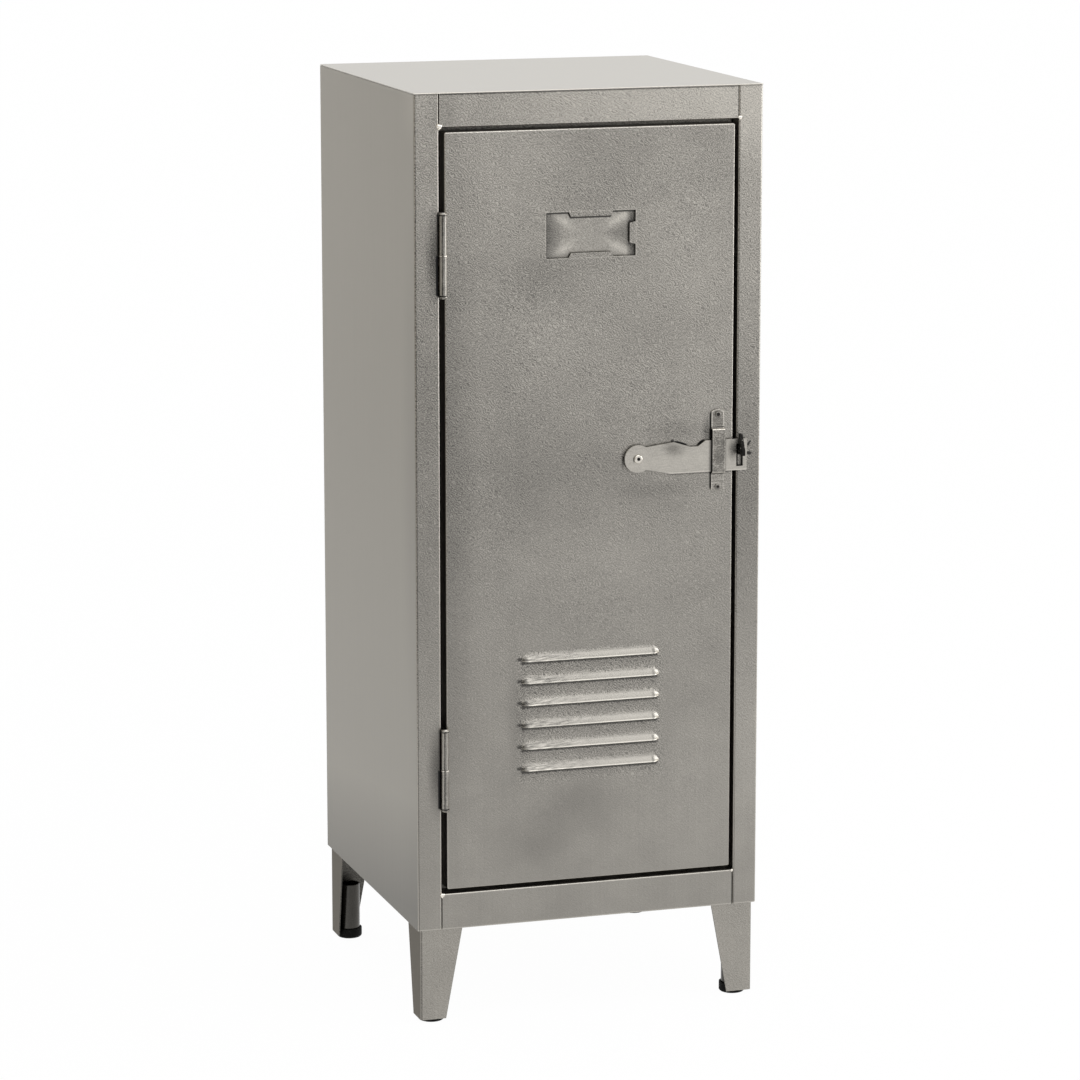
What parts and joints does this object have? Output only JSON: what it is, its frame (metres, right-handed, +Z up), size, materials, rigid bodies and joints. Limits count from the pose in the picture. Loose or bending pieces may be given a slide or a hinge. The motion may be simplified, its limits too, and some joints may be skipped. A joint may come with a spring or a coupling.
{
  "type": "metal locker",
  "caption": "Free-standing sheet-steel locker on tapered angle legs, with a hinged louvred door, a card holder, a lift latch with a padlock eye, and a shelf inside.",
  "frame": {"origin": "on the floor, in the middle of the outer box from the hook's nose to the back", "axes": "+X to the right seen from the front, +Y into the cabinet, +Z up"},
  "size_m": [0.35, 0.356, 0.91],
  "materials": {
    "steel": "sanded bare steel under clear lacquer",
    "bright_steel": "smooth bright steel",
    "dark_steel": "dark oxidised steel",
    "rubber": "matt black"
  },
  "bodies": {
    "cabinet": {"left_side_panel": "steel", "right_side_panel": "steel", "top_rail": "steel", "bottom_rail": "steel", "top_panel": "steel", "floor_panel": "steel", "back_panel": "steel", "shelf": "steel", "shelf_runner_left": "steel", "shelf_runner_right": "steel", "leg_front_left": "steel", "leg_front_right": "steel", "leg_rear_left": "steel", "leg_rear_right": "steel", "foot_tube_front_left": "dark_steel", "foot_tube_front_right": "dark_steel", "foot_tube_rear_left": "dark_steel", "foot_tube_rear_right": "dark_steel", "rubber_tip_front_left": "rubber", "rubber_tip_front_right": "rubber", "rubber_tip_rear_left": "rubber", "rubber_tip_rear_right": "rubber", "upper_hinge_frame_knuckle": "bright_steel", "upper_hinge_pin": "bright_steel", "upper_hinge_washer": "bright_steel", "lower_hinge_frame_knuckle": "bright_steel", "lower_hinge_pin": "bright_steel", "lower_hinge_washer": "bright_steel", "latch_hook": "dark_steel"},
    "door": {"door_skin": "steel", "upper_hinge_door_knuckle": "bright_steel", "upper_hinge_cap": "bright_steel", "lower_hinge_door_knuckle": "bright_steel", "lower_hinge_cap": "bright_steel", "latch_pivot_rivet": "bright_steel", "latch_pivot_washer": "bright_steel", "keeper_strap": "steel", "keeper_rivet_upper": "bright_steel", "keeper_rivet_lower": "bright_steel"},
    "latch_arm": {"latch_arm": "bright_steel"}
  },
  "joints": [
    {"name": "door_hinge", "type": "hinge", "parent": "cabinet", "child": "door", "pos_m": [-0.1479, -0.16514, 0.5056], "axis": [0, 0, -1], "range_deg": [0, 180]},
    {"name": "latch_lift", "type": "hinge", "parent": "door", "child": "latch_arm", "pos_m": [0.0479, -0.1648, 0.5507], "axis": [0, -1, 0], "range_deg": [0, 6]}
  ]
}
